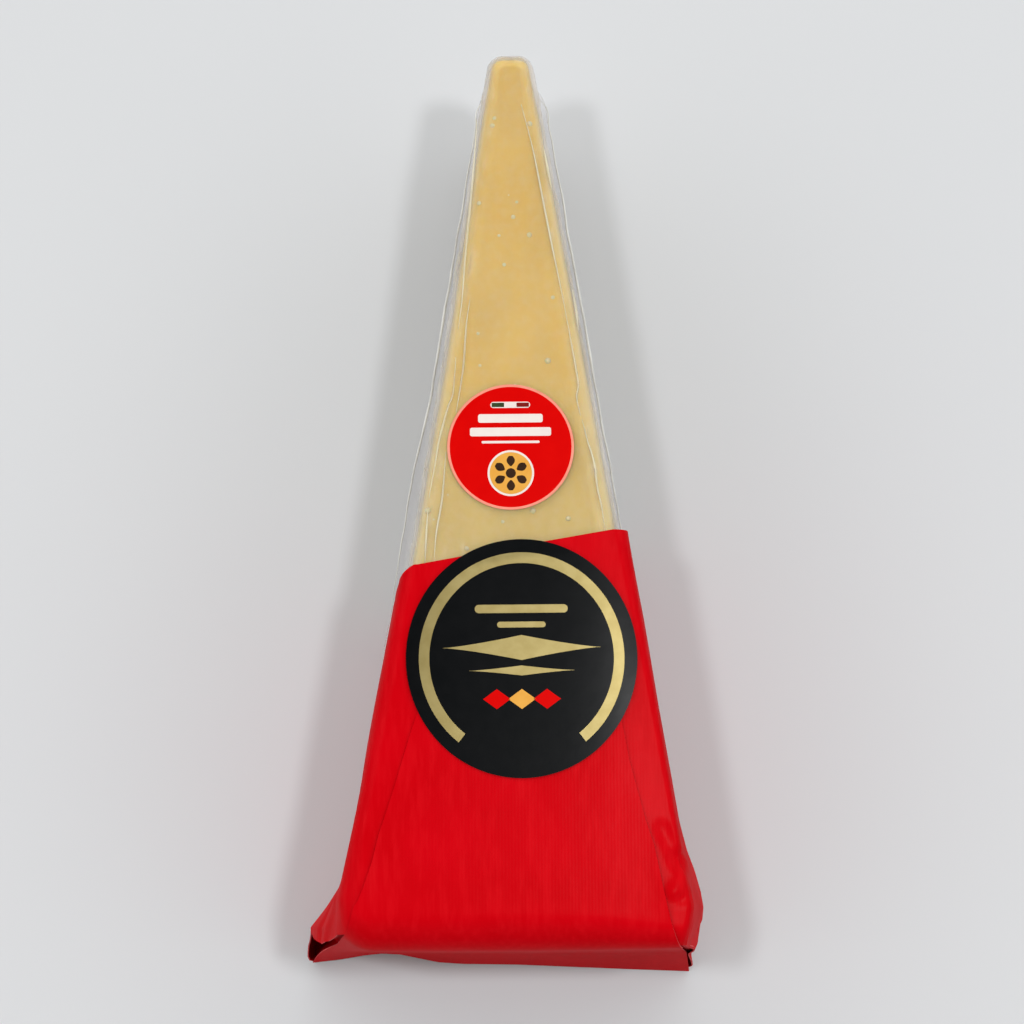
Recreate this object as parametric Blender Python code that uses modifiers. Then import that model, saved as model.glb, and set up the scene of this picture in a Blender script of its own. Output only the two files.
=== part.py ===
"""A wedge of hard cheese, sealed in a clear bag, with paper wrapped round its rind end and two round labels.

The wedge lies on one of its two flat three-cornered faces. +Y points to its tip and +Z up.
All sizes are in metres.
"""

import math

import bmesh
import bpy
from mathutils import Vector

# The wedge of cheese, a slice of half a wheel's height
CHEESE_HEIGHT = 0.090
TIP_Y = 0.1138
RIND_Y = -0.1012
WHEEL_RADIUS = 0.217
TIP_HALF_WIDTH = 0.0053
TIP_CORNER = 0.0034
SIDE_SLOPE = 0.165
RIM_ROUND = 0.0040

# The bag's welded seam, which stands out at half the wedge's height from its tip to just inside the paper
SEAM_THICKNESS = 0.0008
SEAM_TIP_Y = 0.1200
SEAM_FOOT_Y = -0.0400
SEAM_NARROW = 0.0033
SEAM_WIDE = 0.0043
SEAM_NARROW_FROM_Y = 0.045
SEAM_WIDE_FROM_Y = -0.080
SEAM_CORNER = 0.003

# The paper round the rind end
PAPER = 0.0005
GAP = 0.0003
PAPER_MOUTH_Y = -0.0085
PAPER_MOUTH_SLANT = 0.162
PAPER_LOOSE_TOP = (0.0012, 0.0030)
PAPER_LOOSE_SIDE = (0.0054, 0.0060)
PAPER_LOOSE_END = 0.0033
PAPER_WIDEST_Y = -0.083
PAPER_EDGE_ROUND = 0.0045
PAPER_END_Y = -0.1046
PAPER_END_ROUND = 0.0075
PAPER_END_LEAN = 0.0044
PAPER_END_SKEW = 0.040
LEFT_EAR = {"reach": 0.0098, "from_y": -0.081, "peak_y": -0.0995, "kept": 0.90, "height": 0.034}
RIGHT_EAR = {"reach": 0.0035, "from_y": -0.072, "peak_y": -0.0915, "kept": 0.25, "height": 0.040}

# The paper's end flap, folded up over the rind end and laid on the top
FLAP = 0.0004
FLAP_TOP_Y = -0.046
FLAP_FOOT_Y = -0.094
FLAP_TOP_LEFT, FLAP_TOP_RIGHT = -0.0224, 0.0254
FLAP_FOOT_LEFT, FLAP_FOOT_RIGHT = -0.0372, 0.0352

# The two round labels
LABEL = 0.0003
SMALL_LABEL_RADIUS = 0.0153
SMALL_LABEL_AT = (-0.0007, 0.0158)
LARGE_LABEL_RADIUS = 0.0284
LARGE_LABEL_AT = (0.0013, -0.0354)

CHEESE_BOTTOM = PAPER + GAP
CHEESE_TOP = CHEESE_BOTTOM + CHEESE_HEIGHT
PAPER_TOP = CHEESE_TOP + GAP + PAPER
SEAM_Z = CHEESE_BOTTOM + CHEESE_HEIGHT / 2


def clear_scene():
    for obj in list(bpy.data.objects):
        bpy.data.objects.remove(obj)


def collection(name):
    made = bpy.data.collections.new(name)
    bpy.context.scene.collection.children.link(made)
    return made


def material(name, colour, roughness, metallic=0.0):
    made = bpy.data.materials.new(name)
    made.use_nodes = True
    shader = made.node_tree.nodes["Principled BSDF"]
    shader.inputs["Base Color"].default_value = (*colour, 1.0)
    shader.inputs["Roughness"].default_value = roughness
    shader.inputs["Metallic"].default_value = metallic
    return made


def add_object(name, form, finish, home):
    """An object from a bmesh, with one material, in the given collection."""
    bmesh.ops.recalc_face_normals(form, faces=form.faces)
    mesh = bpy.data.meshes.new(name)
    form.to_mesh(mesh)
    form.free()
    if finish:
        mesh.materials.append(finish)
    made = bpy.data.objects.new(name, mesh)
    home.objects.link(made)
    return made


def hide_cutter(obj):
    obj.hide_render = True
    obj.display_type = "WIRE"


def solidify(obj, thickness, offset):
    wall = obj.modifiers.new("wall", "SOLIDIFY")
    wall.thickness = thickness
    wall.offset = offset
    wall.use_even_offset = True


def join_with(obj, other):
    union = obj.modifiers.new("join " + other.name, "BOOLEAN")
    union.operation = "UNION"
    union.object = other


def share(value, start, end):
    """How far value is from start to end, from 0 to 1."""
    return min(1.0, max(0.0, (value - start) / (end - start)))


def smooth(t):
    return t * t * (3 - 2 * t)


def cheese_half_width(y):
    """Half the wedge's width at y, before its tip is rounded."""
    return TIP_HALF_WIDTH + SIDE_SLOPE * (TIP_Y - TIP_CORNER - y)


def seam_half_width(y):
    spread = share(y, SEAM_NARROW_FROM_Y, SEAM_WIDE_FROM_Y)
    return cheese_half_width(y) + SEAM_NARROW + spread * (SEAM_WIDE - SEAM_NARROW)


def cheese_outline():
    """The wedge from above: two straight sides, a blunt tip and a rind that follows the wheel."""
    corner_y = TIP_Y - math.sqrt(WHEEL_RADIUS**2 - cheese_half_width(RIND_Y) ** 2)
    rind = []
    rind_steps = 8
    for step in range(rind_steps + 1):
        x = cheese_half_width(corner_y) * (2 * step / rind_steps - 1)
        rind.append((x, RIND_Y + WHEEL_RADIUS - math.sqrt(WHEEL_RADIUS**2 - x**2)))
    tip = []
    corner_steps = 4
    corner_x = TIP_HALF_WIDTH - TIP_CORNER
    for side in (1, -1):
        corner = []
        for step in range(corner_steps + 1):
            angle = math.radians(90) * step / corner_steps
            x = side * (corner_x + TIP_CORNER * math.cos(angle))
            corner.append((x, TIP_Y - TIP_CORNER * (1 - math.sin(angle))))
        tip += corner if side > 0 else reversed(corner)
    return rind + tip


def seam_outline():
    """The welded seam from above, a little wider than the wedge and longer at its tip."""
    side_steps = 12
    head_y = SEAM_TIP_Y - SEAM_CORNER
    right = []
    for step in range(side_steps + 1):
        y = SEAM_FOOT_Y + (head_y - SEAM_FOOT_Y) * step / side_steps
        right.append((max(seam_half_width(y), TIP_HALF_WIDTH + SEAM_NARROW), y))
    head_half = right[-1][0]
    for angle in (math.radians(30), math.radians(60), math.radians(90)):
        x = head_half - SEAM_CORNER * (1 - math.cos(angle))
        right.append((x, head_y + SEAM_CORNER * math.sin(angle)))
    return right + [(-x, y) for x, y in reversed(right)]


def plate(points, bottom, top):
    """A flat outline raised from bottom to top."""
    form = bmesh.new()
    face = form.faces.new([form.verts.new((x, y, bottom)) for x, y in points])
    raised = bmesh.ops.extrude_face_region(form, geom=[face])["geom"]
    lifted = [part for part in raised if isinstance(part, bmesh.types.BMVert)]
    bmesh.ops.translate(form, vec=(0, 0, top - bottom), verts=lifted)
    return form


def build_cheese(home, cutters):
    """The cheese in its tight clear bag: one solid out to the film, with the seam round it."""
    finish = material("sealed cheese", (0.70, 0.47, 0.19), 0.3)
    body = plate(cheese_outline(), CHEESE_BOTTOM, CHEESE_TOP)
    wedge = add_object("sealed_cheese", body, finish, home)
    rims = wedge.modifiers.new("rounded rims", "BEVEL")
    rims.width = RIM_ROUND
    rims.segments = 3
    rims.limit_method = "ANGLE"
    rims.angle_limit = math.radians(60)
    seam_form = plate(seam_outline(), SEAM_Z - SEAM_THICKNESS / 2, SEAM_Z + SEAM_THICKNESS / 2)
    seam = add_object("seam", seam_form, finish, cutters)
    hide_cutter(seam)
    join_with(wedge, seam)
    return wedge


def ear_reach(ear, y, height_share):
    """How far the paper stands out at a rind corner, where its folds gather."""
    along = smooth(share(y, ear["from_y"], ear["peak_y"]))
    past = smooth(share(y, ear["peak_y"], PAPER_END_Y))
    middle = ear["height"] / PAPER_TOP
    up = share(height_share, 0.0, middle) if height_share < middle else share(height_share, 1.0, middle)
    return ear["reach"] * along * (1 - past * (1 - ear["kept"])) * smooth(up)


def paper_section(y, top):
    """Half of the paper's section at y, from the top's middle to the bottom's.

    Each point is (distance from the axis, height).
    """
    slack = share(y, PAPER_MOUTH_Y, PAPER_WIDEST_Y)
    taken_in = smooth(share(y, PAPER_WIDEST_Y, PAPER_END_Y)) * (PAPER_LOOSE_SIDE[1] - PAPER_LOOSE_END)
    brink = cheese_half_width(y) + PAPER_LOOSE_TOP[0] + slack * (PAPER_LOOSE_TOP[1] - PAPER_LOOSE_TOP[0])
    loose_side = PAPER_LOOSE_SIDE[0] + slack * (PAPER_LOOSE_SIDE[1] - PAPER_LOOSE_SIDE[0]) - taken_in
    belly = cheese_half_width(y) + loose_side
    flat = brink - PAPER_EDGE_ROUND
    points = [(0.0, top), (flat * 0.5, top)]
    arc = [math.radians(a) for a in (90, 68, 46, 24, 4)]
    points += [
        (flat + PAPER_EDGE_ROUND * math.cos(a), top - PAPER_EDGE_ROUND * (1 - math.sin(a))) for a in arc
    ]
    side_top = points[-1]
    points += [
        (side_top[0] + (belly - side_top[0]) * t, side_top[1] + (SEAM_Z - side_top[1]) * t)
        for t in (0.33, 0.67, 1.0)
    ]
    side_foot = (flat + PAPER_EDGE_ROUND * math.cos(arc[-1]), PAPER_EDGE_ROUND * (1 - math.sin(arc[-1])))
    points += [
        (belly + (side_foot[0] - belly) * t, SEAM_Z + (side_foot[1] - SEAM_Z) * t) for t in (0.33, 0.67)
    ]
    points += [
        (flat + PAPER_EDGE_ROUND * math.cos(a), PAPER_EDGE_ROUND * (1 - math.sin(a))) for a in reversed(arc)
    ]
    return points + [(flat * 0.5, 0.0), (0.0, 0.0)]


def paper_ring(y, top, lean, slant):
    """The paper's whole section near y, once round.

    slant is how far the ring runs towards the tip for each metre to the right.
    lean moves its foot out past its top.
    """
    ring = []
    for side, ear in ((1, RIGHT_EAR), (-1, LEFT_EAR)):
        half = paper_section(y + slant * side * cheese_half_width(y), top)
        for across, z in half if side > 0 else reversed(half[1:-1]):
            x = side * (across + ear_reach(ear, y, z / top))
            ring.append((x, y + slant * x - lean * (1 - z / top), z))
    return ring


def build_paper(home, cutters):
    """The paper sleeve, closed over the rind and open towards the tip, with the end flap on its top."""
    finish = material("red paper", (0.62, 0.012, 0.02), 0.4)
    body_steps, end_steps = 14, 4
    round_from_y = PAPER_END_Y + PAPER_END_ROUND
    stations = []
    for step in range(body_steps + 1):
        stations.append((step / body_steps, round_from_y, PAPER_TOP))
    for step in range(1, end_steps + 1):
        angle = math.radians(90) * step / end_steps
        drop = PAPER_END_ROUND * (1 - math.cos(angle))
        stations.append((1.0, round_from_y - PAPER_END_ROUND * math.sin(angle), PAPER_TOP - drop))
    form = bmesh.new()
    rings = []
    for along, end_y, top in stations:
        mean_y = PAPER_MOUTH_Y + (end_y - PAPER_MOUTH_Y) * along
        lean = PAPER_END_LEAN * smooth(share(mean_y, -0.060, PAPER_END_Y))
        slant = PAPER_MOUTH_SLANT * (1 - along) - PAPER_END_SKEW * along
        rings.append([form.verts.new(point) for point in paper_ring(mean_y, top, lean, slant)])
    for ring, following in zip(rings, rings[1:]):
        for i in range(len(ring)):
            j = (i + 1) % len(ring)
            form.faces.new((ring[i], ring[j], following[j], following[i]))
    form.faces.new(rings[-1])
    sleeve = add_object("paper_wrap", form, finish, home)
    solidify(sleeve, PAPER, -1.0)
    sunk = PAPER / 2
    flap_points = [
        (FLAP_FOOT_LEFT, FLAP_FOOT_Y),
        (FLAP_FOOT_RIGHT, FLAP_FOOT_Y),
        (FLAP_TOP_RIGHT, FLAP_TOP_Y),
        (FLAP_TOP_LEFT, FLAP_TOP_Y),
    ]
    flap = add_object("end_flap", plate(flap_points, PAPER_TOP - sunk, PAPER_TOP + FLAP), finish, cutters)
    hide_cutter(flap)
    join_with(sleeve, flap)
    return sleeve


def disc(centre, radius, height_at, rings=6, sides=48):
    """A round sheet whose height follows the surface it is stuck to."""
    form = bmesh.new()
    middle = form.verts.new((*centre, height_at(*centre)))
    inner = None
    for ring_number in range(1, rings + 1):
        ring = []
        for side in range(sides):
            angle = 2 * math.pi * side / sides
            x = centre[0] + radius * ring_number / rings * math.cos(angle)
            y = centre[1] + radius * ring_number / rings * math.sin(angle)
            ring.append(form.verts.new((x, y, height_at(x, y))))
        for i in range(sides):
            j = (i + 1) % sides
            if inner:
                form.faces.new((inner[i], ring[i], ring[j], inner[j]))
            else:
                form.faces.new((middle, ring[i], ring[j]))
        inner = ring
    return form


def large_label_height(x, y):
    """The underside of the large label: flat on the flap, and bent down past the paper's round edges."""
    brink = paper_section(y, PAPER_TOP)[2][0]
    past = max(0.0, abs(x) - brink)
    bend = PAPER_EDGE_ROUND + FLAP + GAP
    return PAPER_TOP + FLAP + GAP - (bend - math.sqrt(max(0.0, bend**2 - past**2)))


def build_labels(home):
    red = material("red label", (0.80, 0.01, 0.01), 0.25)
    black = material("black label", (0.012, 0.012, 0.012), 0.2)
    small_form = disc(SMALL_LABEL_AT, SMALL_LABEL_RADIUS, lambda x, y: CHEESE_TOP + GAP)
    large_form = disc(LARGE_LABEL_AT, LARGE_LABEL_RADIUS, large_label_height)
    small = add_object("label_small", small_form, red, home)
    large = add_object("label_large", large_form, black, home)
    for label in (small, large):
        solidify(label, LABEL, 1.0)
    return small, large


def centre_on_origin(objects):
    """Moves the pieces so that the middle of the whole's underside is the origin."""
    bpy.context.view_layer.update()
    graph = bpy.context.evaluated_depsgraph_get()
    corners = []
    for obj in objects:
        shown = obj.evaluated_get(graph)
        corners += [shown.matrix_world @ Vector(corner) for corner in shown.bound_box]
    xs = [corner.x for corner in corners]
    ys = [corner.y for corner in corners]
    shift = Vector((-(min(xs) + max(xs)) / 2, -(min(ys) + max(ys)) / 2, 0.0))
    for obj in bpy.data.objects:
        obj.location = shift


def main():
    clear_scene()
    home = collection("cheese wedge")
    cutters = collection("cutters")
    cheese = build_cheese(home, cutters)
    paper = build_paper(home, cutters)
    labels = build_labels(home)
    centre_on_origin([cheese, paper, *labels])


main()
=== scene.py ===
"""The looks of a wedge of hard cheese in clear film, with red paper and two round labels."""

import math

import bmesh
import bpy
import numpy as np
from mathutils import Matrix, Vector, noise


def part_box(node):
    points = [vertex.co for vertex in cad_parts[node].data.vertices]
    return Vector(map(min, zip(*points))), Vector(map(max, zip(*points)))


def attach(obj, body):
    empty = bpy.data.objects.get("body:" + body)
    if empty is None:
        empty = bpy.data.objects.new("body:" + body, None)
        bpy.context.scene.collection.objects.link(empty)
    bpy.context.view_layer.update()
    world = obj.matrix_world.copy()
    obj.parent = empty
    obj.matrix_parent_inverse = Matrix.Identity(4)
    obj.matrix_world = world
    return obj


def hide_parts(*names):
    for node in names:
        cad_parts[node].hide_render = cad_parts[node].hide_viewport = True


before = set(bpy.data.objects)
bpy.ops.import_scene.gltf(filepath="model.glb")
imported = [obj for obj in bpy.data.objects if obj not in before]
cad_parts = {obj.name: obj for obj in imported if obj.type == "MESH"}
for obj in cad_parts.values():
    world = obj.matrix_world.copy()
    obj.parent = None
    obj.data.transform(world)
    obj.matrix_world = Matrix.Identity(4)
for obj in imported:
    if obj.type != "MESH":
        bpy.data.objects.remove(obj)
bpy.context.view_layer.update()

# The wedge's own axes. Its middle line is x = 0, +Y runs from the rind to the tip, and the table is z = 0.
# Every size below is in metres in these axes, and wedge_at moves a finished mesh to its place in the frame.
SEAM_TIP_Y = 0.1200
sealed_low, sealed_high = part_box("sealed_cheese")
wedge_at = Vector(((sealed_low.x + sealed_high.x) / 2, sealed_high.y - SEAM_TIP_Y, 0.0))
CHEESE_BOTTOM, CHEESE_TOP = sealed_low.z, sealed_high.z


# Studio: the camera looks almost straight down on the wedge, from a little towards its rind end.
# Two small lamps hang high at its sides, and the pale room gives the rest of the light from low down.
VIEW_TILT = math.radians(8.0)
VIEW_TURN = -0.0085
VIEW_DISTANCE = 0.722
VIEW_AIM = Vector((-0.0005, 0.0, CHEESE_TOP))
LENS, SENSOR = 105.47, 36.0
LAMP_HEIGHT = 1.0
LAMP_SIZE = 0.075
FLOOR_SIZE = 6.0

camera_data = bpy.data.cameras.new("camera")
camera_data.lens = LENS
camera_data.sensor_width = SENSOR
camera = bpy.data.objects.new("camera", camera_data)
back = Vector((math.sin(VIEW_TURN) * math.sin(VIEW_TILT), -math.sin(VIEW_TILT), math.cos(VIEW_TILT)))
camera.location = wedge_at + VIEW_AIM + back * VIEW_DISTANCE
camera.rotation_euler = (VIEW_TILT, 0.0, VIEW_TURN)
bpy.context.scene.collection.objects.link(camera)
bpy.context.scene.camera = camera
bpy.context.scene.view_settings.view_transform = "Standard"
bpy.context.scene.cycles.diffuse_bounces = 1


def hang_lamp(name, across, towards, watts):
    """A small round lamp that points at the wedge's top from the given place beside the camera."""
    data = bpy.data.lights.new(name, "AREA")
    data.shape = "DISK"
    data.size = LAMP_SIZE
    data.energy = watts
    lamp = bpy.data.objects.new(name, data)
    lamp.location = wedge_at + VIEW_AIM + Vector((across, towards, LAMP_HEIGHT))
    aim = wedge_at + VIEW_AIM - lamp.location
    lamp.rotation_euler = aim.to_track_quat("-Z", "Y").to_euler()
    bpy.context.scene.collection.objects.link(lamp)
    return lamp


hang_lamp("lamp_left", -0.205, -0.035, 2.00).visible_glossy = False
hang_lamp("lamp_right", 0.2165, -0.035, 2.40)


def node(tree, kind, inputs=None, **settings):
    """A node with its settings, and its inputs as numbers or as links from other nodes' sockets."""
    made = tree.nodes.new(kind)
    for name, value in settings.items():
        setattr(made, name, value)
    for name, value in (inputs or {}).items():
        if isinstance(value, bpy.types.NodeSocket):
            tree.links.new(value, made.inputs[name])
        else:
            made.inputs[name].default_value = value
    return made


def ramp(tree, value, start, end, first, last, soft=False):
    """A number that goes from first to last as value goes from start to end."""
    return node(
        tree,
        "ShaderNodeMapRange",
        {"Value": value, "From Min": start, "From Max": end, "To Min": first, "To Max": last},
        interpolation_type="SMOOTHSTEP" if soft else "LINEAR",
    ).outputs[0]


def times(tree, first, second):
    return node(tree, "ShaderNodeMath", {0: first, 1: second}, operation="MULTIPLY").outputs[0]


ROOM_TONE = (1.0, 1.0, 0.975, 1.0)
ROOM_STRENGTH = 1.27
world = bpy.data.worlds.new("pale room")
world.use_nodes = True
sky = world.node_tree
sky_way = node(sky, "ShaderNodeTexCoord").outputs["Generated"]
sky_parts = node(sky, "ShaderNodeSeparateXYZ", {0: sky_way}).outputs
overhead = ramp(sky, sky_parts["Z"], 0.70, 0.93, 1.0, 0.03, soft=True)
low_down = ramp(sky, sky_parts["Z"], 0.0, 0.55, 0.15, 1.0)
behind = ramp(sky, sky_parts["Y"], -0.8, 0.8, 0.35, 1.35)
room_share = times(sky, times(sky, overhead, low_down), times(sky, behind, ROOM_STRENGTH))
sky.nodes["Background"].inputs["Color"].default_value = ROOM_TONE
sky.links.new(room_share, sky.nodes["Background"].inputs["Strength"])
bpy.context.scene.world = world


def new_finish(name, **numbers):
    """A material whose shader has the given numbers. Returns the material, its tree and its shader."""
    finish = bpy.data.materials.new(name)
    finish.use_nodes = True
    shader = finish.node_tree.nodes["Principled BSDF"]
    for socket, value in numbers.items():
        shader.inputs[socket.replace("_", " ")].default_value = value
    return finish, finish.node_tree, shader


def mottle(tree, scale, detail, low, high, stretch=(1.0, 1.0, 1.0)):
    """Soft noise in the object's own coordinates, spread over 0 to 1 between its low and high values."""
    place = node(tree, "ShaderNodeTexCoord").outputs["Object"]
    turned = node(tree, "ShaderNodeMapping", {"Vector": place, "Scale": stretch}).outputs[0]
    cloud = node(tree, "ShaderNodeTexNoise", {"Vector": turned, "Scale": scale, "Detail": detail})
    return node(tree, "ShaderNodeMapRange", {"Value": cloud.outputs[0], "From Min": low, "From Max": high})


def blend_colours(tree, factor, first, second):
    mixed = node(tree, "ShaderNodeMix", {0: factor}, data_type="RGBA")
    for name, colour in (("A", first), ("B", second)):
        if isinstance(colour, bpy.types.NodeSocket):
            tree.links.new(colour, mixed.inputs[name])
        else:
            mixed.inputs[name].default_value = (*colour, 1.0)
    return mixed.outputs["Result"]


floor_finish, tree, shader = new_finish("matt board", Roughness=0.9, Specular_IOR_Level=0.1)
specks = mottle(tree, 3.0, 3.0, 0.3, 0.7).outputs[0]
tone = blend_colours(tree, specks, (0.752, 0.767, 0.796), (0.767, 0.782, 0.806))
tree.links.new(tone, shader.inputs["Base Color"])
bpy.ops.mesh.primitive_plane_add(size=FLOOR_SIZE)
floor = bpy.context.object
floor.name = "floor"
floor.data.materials.append(floor_finish)


# The cheese: a wedge cut from half a wheel's height, pale straw yellow, with white crystals in its paste.
# Its cut faces are smooth and faintly uneven, its rims and blunt tip are worn round, its rind is brown.
TIP_Y, RIND_Y = 0.1138, -0.1012
TIP_HALF_WIDTH, TIP_CORNER = 0.0053, 0.0034
SIDE_SLOPE = 0.165
WHEEL_RADIUS = 0.217
RIM = 0.0042
LEAN, PRESSED = 0.0013, 0.0012
MOUTH_Y, MOUTH_SLANT = -0.0085, 0.162
PRESS_START, PRESS_RUN = 0.0005, 0.009
UNDER_FILM = 0.00025
CHEESE_VOXEL = 0.0012


def half_width(y):
    """Half the wedge's width at y, before its tip is rounded."""
    return TIP_HALF_WIDTH + SIDE_SLOPE * (TIP_Y - TIP_CORNER - y)


def resample(points, step, closed=True):
    """The same line with its points a step apart."""
    line = np.array(points, float)
    if closed:
        line = np.vstack([line, line[:1]])
    reached = np.concatenate([[0.0], np.cumsum(np.linalg.norm(np.diff(line, axis=0), axis=1))])
    count = max(3, round(reached[-1] / step))
    places = np.linspace(0.0, reached[-1], count, endpoint=not closed)
    return np.stack([np.interp(places, reached, line[:, k]) for k in range(line.shape[1])], axis=1)


def arc(centre, radius, start, end, steps=8):
    """Points on a circle's arc, from one angle in degrees to another."""
    turns = [math.radians(start + (end - start) * i / steps) for i in range(steps + 1)]
    return [(centre[0] + radius * math.cos(a), centre[1] + radius * math.sin(a)) for a in turns]


def wedge_outline(step=0.0008):
    """The wedge from above as (points, outward normals), anticlockwise."""
    lean = math.degrees(math.atan(SIDE_SLOPE))
    tip_x, tip_centre_y = TIP_HALF_WIDTH - TIP_CORNER, TIP_Y - TIP_CORNER
    corner = 0.003
    rind_half = half_width(RIND_Y) - corner
    rind_corner_y = RIND_Y + WHEEL_RADIUS - math.sqrt(WHEEL_RADIUS**2 - rind_half**2) + corner
    points = arc((rind_half, rind_corner_y), corner, -80, lean)
    points += arc((tip_x, tip_centre_y), TIP_CORNER, lean, 90)
    points += arc((-tip_x, tip_centre_y), TIP_CORNER, 90, 180 - lean)
    points += arc((-rind_half, rind_corner_y), corner, 180 - lean, 260)
    points += arc((0.0, RIND_Y + WHEEL_RADIUS), WHEEL_RADIUS, 261, 279, 24)
    points = resample(points, step)
    ahead = np.roll(points, -1, axis=0) - np.roll(points, 1, axis=0)
    ahead /= np.linalg.norm(ahead, axis=1)[:, None]
    return points, np.stack([ahead[:, 1], -ahead[:, 0]], axis=1)


def mesh_of_rows(name, rows, wrap=False, caps=False):
    """A mesh of quads through rows of points, at the wedge's place. Caps close its first and last row."""
    form = bmesh.new()
    grid = [[form.verts.new(Vector(point) + wedge_at) for point in row] for row in rows]
    for row, following in zip(grid, grid[1:]):
        for i in range(len(row) if wrap else len(row) - 1):
            j = (i + 1) % len(row)
            form.faces.new((row[i], row[j], following[j], following[i]))
    if caps:
        ends = [form.faces.new(grid[0][::-1]), form.faces.new(grid[-1])]
        bmesh.ops.triangulate(form, faces=ends)
    mesh = bpy.data.meshes.new(name)
    form.to_mesh(mesh)
    form.free()
    return mesh


def add_object(name, mesh, *finishes):
    made = bpy.data.objects.new(name, mesh)
    bpy.context.scene.collection.objects.link(made)
    for finish in finishes:
        made.data.materials.append(finish)
    return made


def settle(piece, smooth_angle=None):
    """Makes the piece's modifiers part of its mesh, with its faces outwards and its shading smooth."""
    graph = bpy.context.evaluated_depsgraph_get()
    mesh = bpy.data.meshes.new_from_object(piece.evaluated_get(graph))
    piece.modifiers.clear()
    form = bmesh.new()
    form.from_mesh(mesh)
    if form.calc_volume(signed=True) < 0:
        bmesh.ops.reverse_faces(form, faces=form.faces)
    form.to_mesh(mesh)
    form.free()
    mesh.name = piece.name
    piece.data = mesh
    mesh.shade_smooth()
    if smooth_angle:
        mesh.set_sharp_from_angle(angle=math.radians(smooth_angle))
    return piece


def spread(low, high, count):
    return [low + (high - low) * i / (count - 1) for i in range(count)]


outline, outward = wedge_outline()


def lean_in(x, y, z):
    """A place on the wedge, once its left side leans in and its rind end is pressed under the paper."""
    rise = max(0.0, (z - CHEESE_TOP / 2) / (CHEESE_TOP / 2))
    share = min(1.0, max(0.0, -x / 0.004)) * min(1.0, max(0.0, (0.095 - y) / 0.06))
    past_mouth = MOUTH_Y + MOUTH_SLANT * x - PRESS_START - y
    under_paper = min(1.0, max(0.0, past_mouth / PRESS_RUN))
    return (x + LEAN * rise * share, y, z - PRESSED * rise * under_paper)


def sweep_round(profile):
    """Rows round the wedge, one for each (distance out, height) of a profile."""
    return [[lean_in(*(p + n * out), z) for p, n in zip(outline, outward)] for out, z in profile]


rim_turns = [math.radians(a) for a in spread(0, 90, 6)]
cheese_profile = [
    (-UNDER_FILM - RIM * (1 - math.sin(a)), CHEESE_BOTTOM + UNDER_FILM + RIM * (1 - math.cos(a)))
    for a in rim_turns
]
cheese_profile += [
    (-UNDER_FILM - RIM * (1 - math.cos(a)), CHEESE_TOP - UNDER_FILM - RIM * (1 - math.sin(a)))
    for a in rim_turns
]
cheese = add_object("cheese", mesh_of_rows("cheese", sweep_round(cheese_profile), wrap=True, caps=True))
evened = cheese.modifiers.new("even mesh", "REMESH")
evened.mode = "VOXEL"
evened.voxel_size = CHEESE_VOXEL
settle(cheese)


def move_points(mesh, amount):
    """Moves each point of a mesh along its normal by amount(place)."""
    places = [vertex.co.copy() for vertex in mesh.vertices]
    normals = [vertex.normal.copy() for vertex in mesh.vertices]
    moved = [place + normal * amount(place) for place, normal in zip(places, normals)]
    mesh.vertices.foreach_set("co", np.array(moved, np.float32).ravel())
    mesh.update()


move_points(
    cheese.data,
    lambda p: -0.00012 - 0.00010 * noise.noise(p * 70.0) - 0.00005 * noise.noise(p * 260.0),
)

cheese_finish, tree, shader = new_finish(
    "hard cheese",
    Roughness=0.55,
    Specular_IOR_Level=0.2,
    Subsurface_Weight=0.35,
    Subsurface_Radius=(1.0, 0.62, 0.24),
    Subsurface_Scale=0.0035,
)
place = node(tree, "ShaderNodeTexCoord").outputs["Object"]
length_wise = node(tree, "ShaderNodeSeparateXYZ", {0: place}).outputs["Y"]
# The paste goes from a darker, greyer tone at the paper's mouth to a more orange one towards the tip. The
# orange is the paste's own tone; the darker, greyer end is painted shade, for the shade near the paper and
# between the two labels.
shade_to_tip = node(
    tree,
    "ShaderNodeMapRange",
    {"Value": length_wise, "From Min": wedge_at.y - 0.012, "From Max": wedge_at.y + 0.036},
)
paste = blend_colours(tree, shade_to_tip.outputs[0], (0.770, 0.645, 0.305), (0.920, 0.640, 0.205))
clouds = mottle(tree, 55.0, 3.0, 0.35, 0.65, (1.0, 0.6, 1.0)).outputs[0]
cloudy = blend_colours(tree, clouds, (0.850, 0.585, 0.165), (0.910, 0.670, 0.235))
paste = blend_colours(tree, 0.45, paste, cloudy)
grain = mottle(tree, 420.0, 4.0, 0.40, 0.75).outputs[0]
paste = blend_colours(tree, times(tree, grain, 0.22), paste, (0.88, 0.74, 0.48))
# Towards its sides the paste is painted paler: painted sheen, standing for the film's milky veil where it
# lifts off the rims.
width_base = wedge_at.y + TIP_Y - TIP_CORNER + TIP_HALF_WIDTH / SIDE_SLOPE
half_across = times(tree, ramp(tree, length_wise, width_base - 1.0, width_base, 1.0, 0.0), SIDE_SLOPE)
sideways = node(tree, "ShaderNodeSeparateXYZ", {0: place}).outputs["X"]
off_middle = node(tree, "ShaderNodeMath", {0: sideways, 1: wedge_at.x}, operation="SUBTRACT").outputs[0]
off_middle = node(tree, "ShaderNodeMath", {0: off_middle}, operation="ABSOLUTE").outputs[0]
veil_share = node(tree, "ShaderNodeMath", {0: off_middle, 1: half_across}, operation="DIVIDE").outputs[0]
paste = blend_colours(tree, ramp(tree, veil_share, 0.72, 0.96, 0.0, 0.62), paste, (0.93, 0.77, 0.43))
rind_start = node(
    tree,
    "ShaderNodeMapRange",
    {"Value": length_wise, "From Min": wedge_at.y - 0.0935, "From Max": wedge_at.y - 0.0985},
)
paste = blend_colours(tree, rind_start.outputs[0], paste, (0.42, 0.24, 0.09))
tree.links.new(paste, shader.inputs["Base Color"])
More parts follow.
